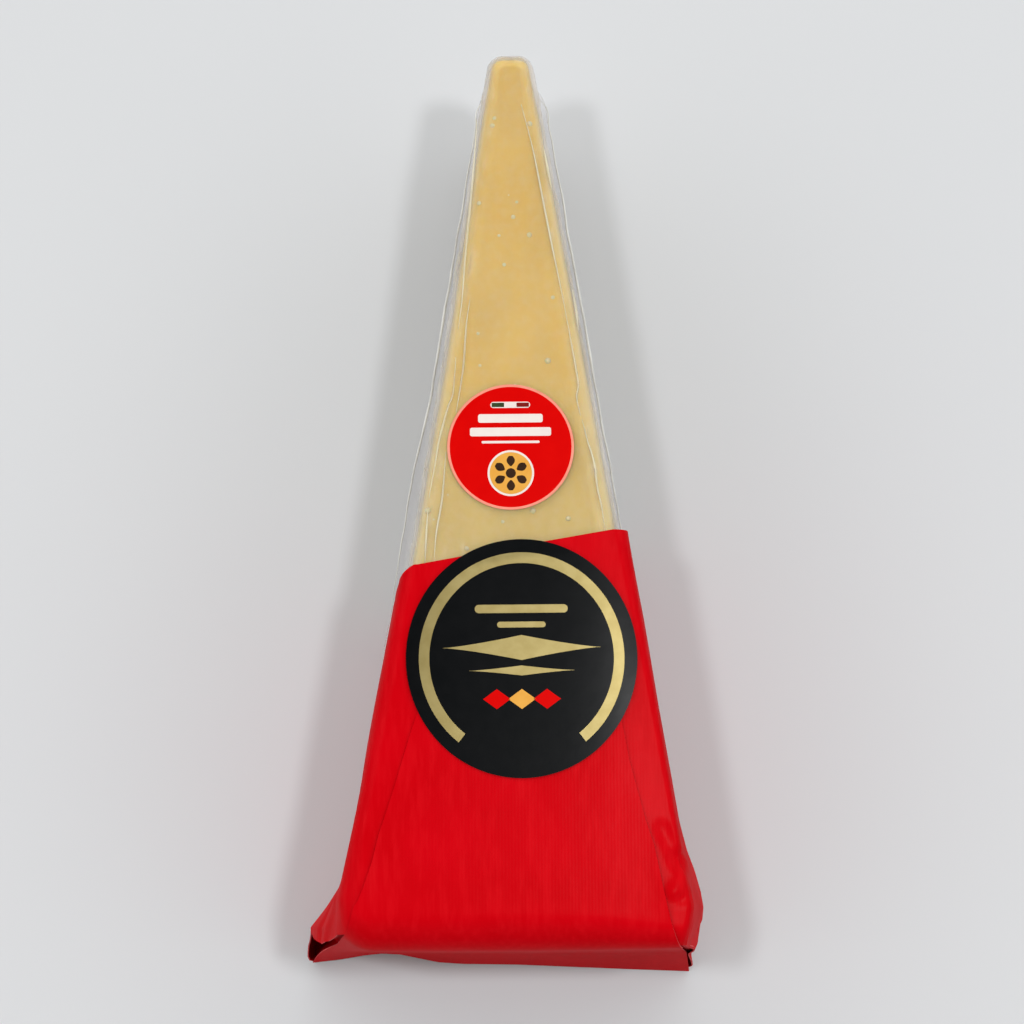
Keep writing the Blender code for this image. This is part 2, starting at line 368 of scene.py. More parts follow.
pitted = mottle(tree, 900.0, 3.0, 0.3, 0.8).outputs[0]
bump = node(tree, "ShaderNodeBump", {"Height": pitted, "Strength": 0.35, "Distance": 0.00015})
tree.links.new(bump.outputs[0], shader.inputs["Normal"])
cheese.data.materials.append(cheese_finish)
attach(cheese, "root")
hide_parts("sealed_cheese")


def new_tree(name, **inputs):
    """A geometry tree with a named input for each size. Returns the tree, its inputs' and outputs' nodes."""
    made = bpy.data.node_groups.new(name, "GeometryNodeTree")
    made.interface.new_socket("Geometry", in_out="INPUT", socket_type="NodeSocketGeometry")
    for title, kind in inputs.items():
        made.interface.new_socket(title, in_out="INPUT", socket_type="NodeSocket" + kind)
    made.interface.new_socket("Geometry", in_out="OUTPUT", socket_type="NodeSocketGeometry")
    return made, made.nodes.new("NodeGroupInput"), made.nodes.new("NodeGroupOutput")


def grow(piece, growth, **values):
    """Runs a geometry tree on a piece and keeps the result as the piece's plain mesh."""
    modifier = piece.modifiers.new(growth.name, "NODES")
    modifier.node_group = growth
    sockets = {s.name: s.identifier for s in growth.interface.items_tree if s.in_out == "INPUT"}
    for title, value in values.items():
        modifier[sockets[title]] = value
    return settle(piece)


# Crystals: white grains of the aged paste, flush with the cut faces, a millimetre or two across.
# A few lie where they show most, and the rest are strewn over the top and the sides.
CRYSTAL_SPOTS = [
    (-0.0031, 0.0682), (-0.0071, 0.0588), (-0.0084, 0.0439), (0.0099, 0.0527), (-0.0080, 0.0360),
    (0.0085, 0.0371), (0.0045, 0.0004), (0.0078, -0.0081), (-0.0207, 0.0006), (-0.0192, -0.0016),
]
CRYSTALS_STREWN = 130
crystal_tree, inlet, outlet = new_tree("crystals", Radius="Float", Finish="Material", Seed="Int")
size = node(crystal_tree, "FunctionNodeRandomValue", {"Seed": inlet.outputs["Seed"]}, data_type="FLOAT")
size.inputs[2].default_value = 0.62
size.inputs[3].default_value = 0.96
turn = node(
    crystal_tree, "FunctionNodeRandomValue", {"Seed": inlet.outputs["Seed"]}, data_type="FLOAT_VECTOR"
)
turn.inputs[1].default_value = (0.4, 0.4, 6.28)
grain_ball = node(
    crystal_tree, "GeometryNodeMeshIcoSphere", {"Radius": inlet.outputs["Radius"], "Subdivisions": 2}
)
strewn = node(
    crystal_tree,
    "GeometryNodeInstanceOnPoints",
    {
        "Points": inlet.outputs["Geometry"],
        "Instance": grain_ball.outputs["Mesh"],
        "Rotation": turn.outputs[0],
        "Scale": size.outputs[1],
    },
)
solid = node(crystal_tree, "GeometryNodeRealizeInstances", {0: strewn.outputs[0]})
coated = node(
    crystal_tree,
    "GeometryNodeSetMaterial",
    {"Geometry": solid.outputs[0], "Material": inlet.outputs["Finish"]},
)
crystal_tree.links.new(coated.outputs[0], outlet.inputs[0])

rng = np.random.default_rng(7)
crystal_points = [(x, y, CHEESE_TOP - 0.00116) for x, y in CRYSTAL_SPOTS]
for _ in range(CRYSTALS_STREWN):
    y = rng.uniform(-0.01, 0.105)
    x = rng.uniform(-0.75, 0.75) * half_width(y)
    height = rng.uniform(0.01, 0.08)
    side = rng.choice([-1, 1])
    if rng.random() < 0.25:
        crystal_points.append((x, y, CHEESE_TOP - 0.00120))
    else:
        crystal_points.append(lean_in(side * (half_width(y) - 0.00112), y, height))
crystal_finish, tree, shader = new_finish("cheese crystals", Roughness=0.45, Subsurface_Weight=0.3)
shader.inputs["Subsurface Scale"].default_value = 0.002
powder = mottle(tree, 900.0, 2.0, 0.3, 0.7).outputs[0]
tone = blend_colours(tree, powder, (0.88, 0.74, 0.42), (0.92, 0.82, 0.54))
tree.links.new(tone, shader.inputs["Base Color"])
crystal_mesh = bpy.data.meshes.new("crystals")
crystal_mesh.from_pydata([Vector(point) + wedge_at for point in crystal_points], [], [])
crystals = add_object("crystals", crystal_mesh)
grow(crystals, crystal_tree, Radius=0.00095, Finish=crystal_finish, Seed=11)
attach(crystals, "root")
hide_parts("sealed_cheese")


# The bag: two sheets of clear film welded together round the wedge and drawn tight on it by vacuum.
# The weld stands out as a fin at half the wedge's height, and the film puckers as it comes over the rims.
SEAM_Z = (CHEESE_BOTTOM + CHEESE_TOP) / 2
FIN_REACH = {
    1: [
        (-0.110, 0.0012), (-0.060, 0.0022), (-0.030, 0.0034), (0.034, 0.0036), (0.088, 0.0040),
        (0.119, 0.0042),
    ],
    -1: [
        (-0.110, 0.0012), (-0.060, 0.0026), (-0.030, 0.0040), (0.010, 0.0044), (0.034, 0.0031),
        (0.119, 0.0031),
    ],
}
FIN_AT_TIP = 0.0055


def read_off(table, place):
    """A value along a line of (place, value) pairs."""
    return float(np.interp(place, [p for p, _ in table], [v for _, v in table]))


def film_section(point, normal):
    """The film's section at an outline's point, from top sheet to bottom one, as (out, height)."""
    x, y = point
    side = 1 if x > 0 else -1
    tip_share = max(0.0, normal[1]) ** 2
    reach = read_off(FIN_REACH[side], y) * (1 - tip_share) + FIN_AT_TIP * tip_share
    at = Vector((x, y, 0.0))
    reach += 0.00035 * noise.noise(at * 160.0)
    slack = 0.0005 + 0.00045 * noise.noise(at * 330.0 + Vector((0, 0, 5)))
    sway = 0.0006 * noise.noise(at * 45.0 + Vector((0, 0, 9)))
    bead = 0.00028
    room = 0.60 + 0.40 * min(1.0, max(0.0, (0.107 - y) / 0.010))
    upper = [
        (-0.0046 * room, CHEESE_TOP + 0.00002),
        ((-0.0036 + slack) * room, CHEESE_TOP + 0.00008 + slack * 0.35),
        (-0.0028 * room, CHEESE_TOP + 0.00006),
        (-0.0018 * room, CHEESE_TOP + slack * 0.25),
        (-0.0008, CHEESE_TOP - 0.0005 + slack * 0.4),
        (0.0000, CHEESE_TOP - 0.0019),
        (0.0003 + slack * 0.5, CHEESE_TOP - 0.0040),
        (0.0003 + slack, CHEESE_TOP - 0.0090),
        (0.0002 + slack * 1.3, CHEESE_TOP - 0.0170),
        (0.0003 + slack, CHEESE_TOP - 0.0260),
        (0.0004 + slack * 0.8, CHEESE_TOP - 0.0350),
        (0.0007 + slack * 0.5, CHEESE_TOP - 0.0410),
        (0.0012, SEAM_Z + sway + 0.0013),
        (0.0018, SEAM_Z + sway + 0.0004),
    ]
    middle = CHEESE_TOP + CHEESE_BOTTOM
    fin = [
        (reach - 2 * bead, SEAM_Z + sway + bead * 0.5),
        (reach - 0.6 * bead, SEAM_Z + sway + bead),
        (reach, SEAM_Z + sway),
        (reach - 0.6 * bead, SEAM_Z + sway - bead),
        (reach - 2 * bead, SEAM_Z + sway - bead * 0.5),
    ]
    under = [(out, middle - z + 2 * sway * (abs(z - SEAM_Z) < 0.002)) for out, z in reversed(upper)]
    return upper + fin + under


film_sections = [film_section(p, n) for p, n in zip(outline, outward)]
film_rows = []
for level in range(len(film_sections[0])):
    row = []
    for point, normal, section in zip(outline, outward, film_sections):
        out, height = section[level]
        row.append(lean_in(*(point + normal * out), height))
    film_rows.append(row)
film = add_object("film_bag", mesh_of_rows("film_bag", film_rows, wrap=True, caps=True))


def film_finish(name, haze_colour, flat_haze, edge_haze, mirror_share):
    """Clear plastic film: see-through with a faint milky haze, more of it where it is seen from the side."""
    finish, tree, shader = new_finish(name)
    clear = node(tree, "ShaderNodeBsdfTransparent", {"Color": (0.985, 0.980, 0.985, 1.0)})
    haze = node(tree, "ShaderNodeBsdfDiffuse", {"Color": (*haze_colour, 1.0)})
    milky = ramp(tree, mottle(tree, 130.0, 3.0, 0.35, 0.75, (1.0, 0.4, 1.0)).outputs[0], 0.0, 1.0, 0.6, 1.4)
    facing = node(tree, "ShaderNodeLayerWeight", {"Blend": 0.5}).outputs["Facing"]
    haze_share = times(tree, milky, ramp(tree, facing, 0.0, 1.0, flat_haze, edge_haze))
    sheet_look = node(tree, "ShaderNodeMixShader", {0: haze_share, 1: clear.outputs[0], 2: haze.outputs[0]})
    gloss = node(tree, "ShaderNodeBsdfGlossy", {"Color": (1.0, 1.0, 1.0, 1.0), "Roughness": 0.12})
    rippled = mottle(tree, 260.0, 2.0, 0.2, 0.8, (1.0, 0.5, 1.0)).outputs[0]
    bump = node(tree, "ShaderNodeBump", {"Height": rippled, "Strength": 0.25, "Distance": 0.0004})
    tree.links.new(bump.outputs[0], gloss.inputs["Normal"])
    mirror = times(tree, node(tree, "ShaderNodeFresnel", {"IOR": 1.45}).outputs[0], mirror_share)
    look = node(tree, "ShaderNodeMixShader", {0: mirror, 1: sheet_look.outputs[0], 2: gloss.outputs[0]})
    tree.links.new(look.outputs[0], tree.nodes["Material Output"].inputs["Surface"])
    tree.nodes.remove(shader)
    return finish


film.data.materials.append(film_finish("clear film", (0.97, 0.93, 0.90), 0.022, 0.56, 0.6))
settle(film)
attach(film, "root")
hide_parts("sealed_cheese")


# The pleats: where the film is gathered over the rims it stands up in hair-thin folds along the edges.
# Each is a narrow tucked ridge of film lying just on the top sheet. Its milky, warm finish is a painted
# glint, for the lamps' light caught along the folds.
PLEATS = [
    [
        (-0.0083, 0.0972), (-0.0088, 0.0897), (-0.0099, 0.0771), (-0.0112, 0.0646), (-0.0122, 0.0522),
        (-0.0132, 0.0448),
    ],
    [
        (-0.0138, 0.0380), (-0.0145, 0.0293), (-0.0158, 0.0256), (-0.0178, 0.0183), (-0.0190, 0.0115),
        (-0.0205, 0.0034),
    ],
    [(-0.0207, 0.0012), (-0.0211, -0.0046), (-0.0215, -0.0125)],
    [(-0.0103, 0.0522), (-0.0112, 0.0460), (-0.0119, 0.0366), (-0.0127, 0.0309), (-0.0138, 0.0244)],
    [(-0.0163, 0.0148), (-0.0166, 0.0114), (-0.0173, 0.0033), (-0.0187, -0.0047), (-0.0193, -0.0115)],
    [
        (0.0026, 0.1010), (0.0054, 0.0895), (0.0077, 0.0770), (0.0100, 0.0644), (0.0124, 0.0520),
        (0.0134, 0.0458),
    ],
    [
        (0.0133, 0.0470), (0.0145, 0.0397), (0.0154, 0.0343), (0.0158, 0.0307), (0.0154, 0.0278),
        (0.0163, 0.0233),
    ],
    [
        (0.0166, 0.0225), (0.0179, 0.0172), (0.0194, 0.0119), (0.0201, 0.0059), (0.0211, 0.0010),
        (0.0219, -0.0052),
    ],
    [(0.0081, 0.0895), (0.0099, 0.0794)],
    [(0.0146, 0.0545), (0.0154, 0.0500), (0.0160, 0.0445)],
]
pleat_tree, inlet, outlet = new_tree("pleats", Width="Float", Finish="Material")
line = node(pleat_tree, "GeometryNodeMeshToCurve", {"Mesh": inlet.outputs["Geometry"]})
line = node(pleat_tree, "GeometryNodeCurveSplineType", {"Curve": line.outputs[0]}, spline_type="CATMULL_ROM")
line = node(pleat_tree, "GeometryNodeResampleCurve", {"Curve": line.outputs[0], "Count": 90})
profile = node(
    pleat_tree, "GeometryNodeCurvePrimitiveCircle", {"Resolution": 8, "Radius": inlet.outputs["Width"]}
)
along = node(pleat_tree, "GeometryNodeSplineParameter").outputs["Factor"]
half_turn = times(pleat_tree, along, math.pi)
swell = node(pleat_tree, "ShaderNodeMath", {0: half_turn}, operation="SINE").outputs[0]
thick = node(pleat_tree, "ShaderNodeMath", {0: swell, 1: 0.75, 2: 0.25}, operation="MULTIPLY_ADD").outputs[0]
tube = node(
    pleat_tree,
    "GeometryNodeCurveToMesh",
    {"Curve": line.outputs[0], "Profile Curve": profile.outputs[0], "Scale": thick, "Fill Caps": True},
)
solid = node(pleat_tree, "GeometryNodeRealizeInstances", {0: tube.outputs[0]})
coated = node(
    pleat_tree,
    "GeometryNodeSetMaterial",
    {"Geometry": solid.outputs[0], "Material": inlet.outputs["Finish"]},
)
pleat_tree.links.new(coated.outputs[0], outlet.inputs[0])


def raise_pleats(name, paths, width, finish):
    """Thin ridges of film that follow the given paths, thickest at their middles."""
    points, edges = [], []
    for path in paths:
        first = len(points)
        points += [Vector(place) + wedge_at for place in path]
        edges += [(first + i, first + i + 1) for i in range(len(path) - 1)]
    lines = bpy.data.meshes.new(name)
    lines.from_pydata(points, edges, [])
    ridges = add_object(name, lines)
    grow(ridges, pleat_tree, Width=width, Finish=finish)
    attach(ridges, "root")
    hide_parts("sealed_cheese")


# The pleats' milky, warm haze is painted glint along the folds.
pleat_glint_finish = film_finish("film pleats painted glint", (1.0, 0.93, 0.68), 0.50, 0.62, 0.4)
top_paths = [[(x, y, CHEESE_TOP + 0.00012) for x, y in path] for path in PLEATS]
raise_pleats("film_pleats", top_paths, 0.00026, pleat_glint_finish)

# The weld's rim: the cut edges of the two sheets, a little thicker and milkier than the film beside them.
# Its near-white finish is partly that milkiness and partly a painted highlight, for the light caught on the
# rim's rounded bead.
rim_finish = film_finish("film weld rim", (1.0, 1.0, 0.96), 0.85, 0.95, 0.4)
weld_rim = [(x, y, z + 0.0002) for x, y, z in film_rows[len(film_rows) // 2] if y > -0.016]
rim_paths = [
    sorted((p for p in weld_rim if p[0] * side > 0.001), key=lambda p: p[1])[::6] for side in (-1, 1)
]
raise_pleats("film_weld_rim", rim_paths, 0.00034, rim_finish)


# The paper: a sheet of red satin kraft paper wrapped round the rind end, open and slanted towards the tip.
# It is tight over the top's edges, stands off the tall sides, and gathers in a fold at each rind corner.
MM = 0.001
PAPER_TOP = 0.0917
PAPER_CROWN = 0.0009
PAPER_FOOT = 0.0006
PAPER_THICK = 0.00028
EDGE_PAST = {
    1: [
        (-110, -3.6), (-101.9, -0.4), (-98, 1.3), (-94.6, 2.4), (-88, 2.2), (-82, 2.0), (-70, 2.2),
        (0, 3.1),
    ],
    -1: [(-110, 1.8), (-100, 2.2), (-92, 4.0), (-80, 3.3), (-65, 2.6), (-40, 2.2), (-24, 1.7), (-10, 1.3)],
}
EDGE_ROUND = {
    1: [(-100, 1.8), (-80, 1.3), (-40, 2.0), (-8, 3.6)],
    -1: [(-110, 7.5), (-92, 7.0), (-78, 4.0), (-60, 4.2), (-40, 4.8), (-24, 4.0), (-10, 3.6)],
}
BELLY_PAST = {
    1: [
        (-110, -0.5), (-106.2, 1.0), (-105.5, 3.6), (-103.5, 5.0), (-98.2, 7.3), (-94.2, 8.4),
        (-90.5, 8.4), (-85.3, 7.8), (-80, 6.6), (-72.8, 5.9), (-44, 5.9), (-22, 6.2), (0, 5.9),
    ],
    -1: [
        (-110, 12.2), (-102.5, 12.2), (-100.2, 12.6), (-98.5, 12.9), (-92.9, 9.4), (-88.4, 7.0),
        (-83.3, 6.4), (-77.8, 5.5), (-54, 5.6), (-36, 5.2), (-14, 4.9),
    ],
}
FOOT_PAST = {
    1: [(-110.4, 4.0), (-109, 5.2), (-107, 5.2), (-98, 5.2), (-85, 5.0), (-60, 4.0), (0, 3.2)],
    -1: [
        (-107.8, 13.6), (-106, 14.4), (-103, 14.6), (-98, 13.0), (-92, 8.5), (-85, 5.2), (-60, 3.6),
        (-10, 2.6),
    ],
}
END_Y = {
    1: [
        (0, -110.2), (5, -109.1), (12, -107.7), (22, -106.2), (32, -105.3), (45, -104.9), (60, -104.5),
        (72, -104.3), (84, -103.9), (90, -103.6),
    ],
    -1: [
        (0, -107.7), (8, -106.3), (16, -104.3), (26, -101.4), (38, -98.1), (44, -99.5), (54, -101.4),
        (66, -102.6), (78, -101.9), (90, -100.2),
    ],
}
UNDER_END_Y = {
    1: [(2.0, -110.0), (2.3, -107.5), (3.0, -104.0)],
    -1: [(2.0, -107.0), (2.15, -104.8), (3.0, -104.0)],
}
BELLY_Z = 0.042
TURN_Y, SLEEVE_TURN = -0.0950, 0.0080


def edge_x(side, y):
    """Where the plane of the paper's top would meet its side, as a distance from the middle line."""
    return half_width(y) + read_off(EDGE_PAST[side], y / MM) * MM


def turn_drop(x, y):
    """How far the sleeve's end has sunk as it follows the turn over the rind. At the right it turns late."""
    start = np.interp(x, (0.020, 0.038), (TURN_Y, -0.0990))
    bend = float(np.interp(x, (0.020, 0.038), (SLEEVE_TURN, 0.0052)))
    past = min(max(0.0, start - y), bend * 0.98)
    return bend - math.sqrt(bend**2 - past**2)


def top_height(x, y):
    """The height of the paper's top, a low crown that rolls over at its edges."""
    side = 1 if x > 0 else -1
    edge, roll = edge_x(side, y), read_off(EDGE_ROUND[side], y / MM) * MM
    level = min(abs(x), edge - roll)
    past = min(max(0.0, abs(x) - edge + roll), roll)
    rolled = roll - math.sqrt(roll**2 - past**2)
    return PAPER_TOP - PAPER_CROWN * (level / edge) ** 4 - rolled - turn_drop(x, y)


def side_x(side, y, z):
    """How far the paper's side stands from the middle line, from its edge to its belly and its foot."""
    roll = read_off(EDGE_ROUND[side], y / MM) * MM
    high, low = PAPER_TOP - PAPER_CROWN - roll, PAPER_FOOT + 0.003
    past = [read_off(table[side], y / MM) * MM for table in (FOOT_PAST, BELLY_PAST, EDGE_PAST)]
    samples = [np.interp(z + step, (low, BELLY_Z, high), past) for step in (-0.007, 0.0, 0.007)]
    return half_width(y) + float(np.mean(samples))


def sleeve_line(side, part, t):
    """A point of the sleeve's half section: part is 0 to 1 on top, to 2 down the side, to 3 underneath."""
    end_z = np.interp(part, (1.0, 1.3, 1.85, 2.0), (90.0, 88.5, 3.6, 0.0))
    end_y = (read_off(END_Y[side], end_z) if part < 2 else read_off(UNDER_END_Y[side], part)) * MM
    cut_reach = half_width(MOUTH_Y + (end_y - MOUTH_Y) * t) * min(part, 1.0)
    if side > 0:
        cut_reach += min(0.030, 0.115 * max(0.0, part - 1.3))
    else:
        cut_reach += 0.033 * min(1.0, max(0.0, (part - 1.05) / 0.45))
    y = (MOUTH_Y + MOUTH_SLANT * side * cut_reach * min(1.0, 3.0 - part)) * (1 - t) + end_y * t
    edge, roll = edge_x(side, y), read_off(EDGE_ROUND[side], y / MM) * MM
    if part <= 1:
        x = (edge - roll) * part
        return (side * x, y, top_height(side * x, y))
    high, low = PAPER_TOP - PAPER_CROWN - roll - turn_drop(side * edge, y), PAPER_FOOT + 0.003
    if part < 1.3:
        turn = math.radians(88) * (part - 1) / 0.3
        crown_drop = PAPER_CROWN * (1 - ((edge - roll) / edge) ** 4)
        return (side * (edge - roll * (1 - math.sin(turn))), y, high + crown_drop + roll * math.cos(turn))
    if part <= 1.85:
        z = high + (low - high) * (part - 1.3) / 0.55
        return (side * side_x(side, y, z), y, z)
    foot = side_x(side, y, low)
    if part < 2:
        turn = math.radians(90) * (part - 1.85) / 0.15
        return (side * (foot - 0.003 * (1 - math.cos(turn))), y, low - 0.003 * math.sin(turn))
    return (side * (foot - 0.003) * (3.0 - part), y, PAPER_FOOT)


half_parts = spread(0, 1, 38) + spread(1, 1.3, 9)[1:] + spread(1.3, 1.85, 60)[1:] + spread(1.85, 3, 12)[1:]
stations = [1 - (1 - s) ** 1.25 for s in spread(0, 1, 86)]
sleeve_rows = []
for t in stations:
    right_half = [sleeve_line(1, part, t) for part in half_parts]
    left_half = [sleeve_line(-1, part, t) for part in half_parts[1:-1]]
    sleeve_rows.append(right_half + left_half[::-1])


def press_fold(mesh, start, end, depth, width):
    """Presses a straight valley into a sheet, or raises a ridge where depth is negative."""
    start, end = Vector(start) * MM + wedge_at, Vector(end) * MM + wedge_at
    run = end - start

    def amount(place):
        share = min(1.0, max(0.0, (place - start).dot(run) / run.length_squared))
        return -depth * MM * max(0.0, 1 - (place - start - run * share).length / (width * MM))

    move_points(mesh, amount)


sleeve = add_object("paper_sleeve", mesh_of_rows("paper_sleeve", sleeve_rows[::-1], wrap=True))


def crumple(place):
    """How far the sleeve's sheet stands off its even form. Its tall sides are looser than its top."""
    wave = noise.noise(Vector((place.x * 40.0, place.y * 28.0, place.z * 34.0)))
    return wave * (0.00035 if place.z < 0.088 else 0.00004)


move_points(sleeve.data, crumple)
press_fold(sleeve.data, (34.4, -76.0, 91.0), (38.2, -84.5, 89.5), 0.5, 2.4)
press_fold(sleeve.data, (38.0, -83.0, 90.0), (39.0, -88.5, 88.0), 1.0, 2.6)
press_fold(sleeve.data, (37.2, -91.0, 90.5), (38.4, -87.8, 89.0), -0.7, 2.4)
press_fold(sleeve.data, (38.6, -92.5, 89.0), (41.0, -99.5, 82.0), 1.1, 2.8)
press_fold(sleeve.data, (46.9, -99.2, 40.0), (41.5, -104.0, 66.0), 1.2, 3.4)
press_fold(sleeve.data, (39.1, -84.6, 86.0), (45.0, -95.0, 62.0), -0.9, 3.0)
press_fold(sleeve.data, (-44.5, -92.0, 76.0), (-46.7, -101.0, 66.0), -0.8, 2.8)
press_fold(sleeve.data, (-46.0, -91.0, 60.0), (-49.0, -101.0, 57.0), 0.8, 3.0)
press_fold(sleeve.data, (-30.2, -15.5, 55.0), (-26.9, -24.3, 88.0), 0.6, 1.5)


def ribbed_paper(name, deep, bright):
    """Red kraft paper: fine ribs along the wrap, a satin face, faint clouds of colour and lighter streaks
    along its fibres, which are a painted sheen.
    """
    finish, tree, shader = new_finish(
        name, Roughness=0.6, Specular_IOR_Level=0.0, Coat_Weight=0.17, Coat_Roughness=0.30, Coat_IOR=1.24
    )
    clouds = mottle(tree, 60.0, 4.0, 0.35, 0.65).outputs[0]
    tone = blend_colours(tree, clouds, deep, bright)
    # Lighter, paler streaks along the paper's fibres: painted sheen of its satin face.
    fibre_sheen = mottle(tree, 700.0, 3.0, 0.45, 0.70, (1.0, 0.16, 1.0)).outputs[0]
    sheen_streak_tone = tuple(min(1.0, c * 1.10 + 0.004) for c in bright)
    tone = blend_colours(tree, times(tree, fibre_sheen, 0.45), tone, sheen_streak_tone)
    tree.links.new(tone, shader.inputs["Base Color"])
    place = node(tree, "ShaderNodeTexCoord").outputs["Object"]
    ribs = node(
        tree,
        "ShaderNodeTexWave",
        {"Vector": place, "Scale": 400.0, "Distortion": 1.0, "Detail": 2.0, "Detail Scale": 0.6},
        bands_direction="X",
    )
    creased = mottle(tree, 90.0, 4.0, 0.2, 0.8).outputs[0]
    relief = node(
        tree, "ShaderNodeMath", {0: creased, 1: 14.0, 2: ribs.outputs[1]}, operation="MULTIPLY_ADD"
    )
    bump = node(tree, "ShaderNodeBump", {"Height": relief.outputs[0], "Strength": 0.10, "Distance": 0.00005})
    tree.links.new(bump.outputs[0], shader.inputs["Normal"])
    tree.links.new(bump.outputs[0], shader.inputs["Coat Normal"])
    return finish


paper_finish = ribbed_paper("red paper", (0.595, 0.0004, 0.0040), (0.645, 0.0007, 0.0055))
paper_edge_finish = ribbed_paper("paper edge", (0.70, 0.06, 0.07), (0.76, 0.10, 0.10))


def thicken(piece, thickness, towards):
    """Gives a sheet its wall, with the cut edges in the second finish."""
    wall = piece.modifiers.new("wall", "SOLIDIFY")
    wall.thickness = thickness
    wall.offset = towards
    wall.use_even_offset = True
    wall.material_offset_rim = 1
    return piece


sleeve.data.materials.append(paper_finish)
sleeve.data.materials.append(paper_edge_finish)
settle(thicken(sleeve, PAPER_THICK, -1.0), 28)
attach(sleeve, "root")
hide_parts("paper_wrap")


# The end flap: the wrap's last part, brought up over the rind onto the top, where a label holds it.
# It narrows towards the label. At the foot it kicks out in a hem before it goes under the pack.
FLAP_UP = 0.00018
FLAP_LEFT = [
    (-110, -46.6), (-101, -41.5), (-99.4, -40.8), (-93.3, -37.8), (-83.0, -34.3), (-77.3, -32.9),
    (-67, -29.4), (-53.3, -25.2), (-44, -22.0),
]
FLAP_RIGHT = [
    (-110, 40.6), (-102.3, 39.1), (-100, 38.3), (-95.3, 36.4), (-88.1, 34.5), (-83.9, 33.6),
    (-79.1, 32.5), (-73.4, 30.5), (-64.6, 28.1), (-59.8, 26.9), (-44, 24.0),
]
END_LEFT = [(0, -54.4), (30, -49.4), (60, -44.3), (84, -41.5), (90, -40.7)]
END_RIGHT = [(0, 45.6), (30, 43.0), (60, 40.6), (84, 39.1), (90, 38.3)]
FOOT_LINE = [
    (-54.2, -107.5), (-47, -106.7), (-41, -105.7), (-36, -105.2), (-31, -105.5), (-21, -107.7),
    (-14.5, -108.2), (0, -108.5), (12, -109.1), (30, -110.0), (46, -110.7),
]
HEM_TOP = [(-54, 34.0), (-46, 27.0), (-38, 16.0), (-30, 16.0), (-17, 18.0), (5, 20.0), (46, 22.0)]
FACE_Y = [(0, -105.4), (16, -105.2), (83.5, -104.3)]
FACE_BOW = [(0, 0.1), (90, 0.4)]
FACE_SKEW = [(0, 0.012), (30, 0.0075), (60, 0.0036), (90, 0.0)]
LEFT_BACK = [(0, 0.0), (30, 0.3), (60, 1.7), (84, 3.3)]
TURN_ROUND = [(-42, 8.6), (0, 8.8), (20, 8.0), (40, 5.2)]
TURN_END_Z = 83.0
FLAP_COLUMNS = 78
FACE_HEIGHTS = [*range(80, 39, -4), *range(37, 18, -3), 16.5, 14, 12, 10, 8, 6, 4.5, 3, 1.8, 0.8]


def face_y(x, z):
    """Where the sheet over the rind stands at a height, in mm. Its left edge is drawn back into the fold."""
    bow, skew = read_off(FACE_BOW, z), read_off(FACE_SKEW, z)
    near_left = max(0.0, 1 - (x - read_off(END_LEFT, z)) / 7.0) ** 2
    return read_off(FACE_Y, z) + bow * (x / 42.0) ** 2 - skew * x + read_off(LEFT_BACK, z) * near_left


def end_sheet_point(x, z):
    """A point of the end sheet below its turn, in mm. The hem swings out from the face to the foot."""
    hem = read_off(HEM_TOP, x)
    if z >= hem:
        return (x, face_y(x, z), z)
    foot_share = (1 - z / hem) ** 1.15
    return (x, face_y(x, hem) + (read_off(FOOT_LINE, x) - face_y(x, hem)) * foot_share, z)


def flap_top_point(across, share):
    """A point of the flap on the top. share is 0 at its end under the label and 1 where it turns."""
    y = -44.0 + (TURN_Y / MM + 44.0) * share
    left, right = read_off(FLAP_LEFT, y), read_off(FLAP_RIGHT, y)
    x = left + (right - left) * across
    turn_start = face_y(x, 88.0) + read_off(TURN_ROUND, x)
    y += (turn_start - TURN_Y / MM) * share**3
    lift = 0.00040 * abs(2 * across - 1) ** 10 * min(1.0, max(0.0, share * 2.2 - 1))
    return (x * MM, y * MM, top_height(x * MM, max(y * MM, TURN_Y)) + FLAP_UP + lift)


flap_rows = []
for share in spread(0, 1, 46):
    flap_rows.append([flap_top_point(across, share) for across in spread(0.0, 1.0, FLAP_COLUMNS)])
turn_from = flap_rows[-1]
for turn in spread(0, 90, 13)[1:]:
    sine, cosine = math.sin(math.radians(turn)), math.cos(math.radians(turn))
    row = []
    for across, (start_x, start_y, start_z) in zip(spread(0.0, 1.0, FLAP_COLUMNS), turn_from):
        reach = read_off(TURN_ROUND, start_x / MM)
        left, right = read_off(END_LEFT, TURN_END_Z), read_off(END_RIGHT, TURN_END_Z)
        end_x = left + (right - left) * across
        x = start_x / MM + (end_x - start_x / MM) * (turn / 90)
        y = start_y / MM + (face_y(end_x, TURN_END_Z) - start_y / MM) * sine
        row.append((x * MM, y * MM, start_z - reach * MM * (1 - cosine)))
    flap_rows.append(row)
for z in FACE_HEIGHTS:
    across_face = spread(read_off(END_LEFT, z), read_off(END_RIGHT, z), FLAP_COLUMNS)
    row = [end_sheet_point(x, z) for x in across_face]
    flap_rows.append([(x * MM, y * MM, z * MM) for x, y, z in row])
for inward in (0.5, 3.0, 8.0, 14.0):
    across_foot = spread(-54.0 + inward * 0.5, 45.4 - inward * 0.5, FLAP_COLUMNS)
    row = [(x, read_off(FOOT_LINE, x) + inward) for x in across_foot]
    flap_rows.append([(x * MM, y * MM, 0.00025) for x, y in row])
flap = add_object(
    "paper_end_flap", mesh_of_rows("paper_end_flap", flap_rows[::-1]), paper_finish, paper_edge_finish
)


def flap_waves(place):
    """How far the flap's sheet stands off its even form, above its foot."""
    if place.z <= 0.002:
        return 0.0
    return 0.00006 + 0.00010 * noise.noise(Vector((place.x * 30.0, place.y * 24.0, place.z * 40.0)))


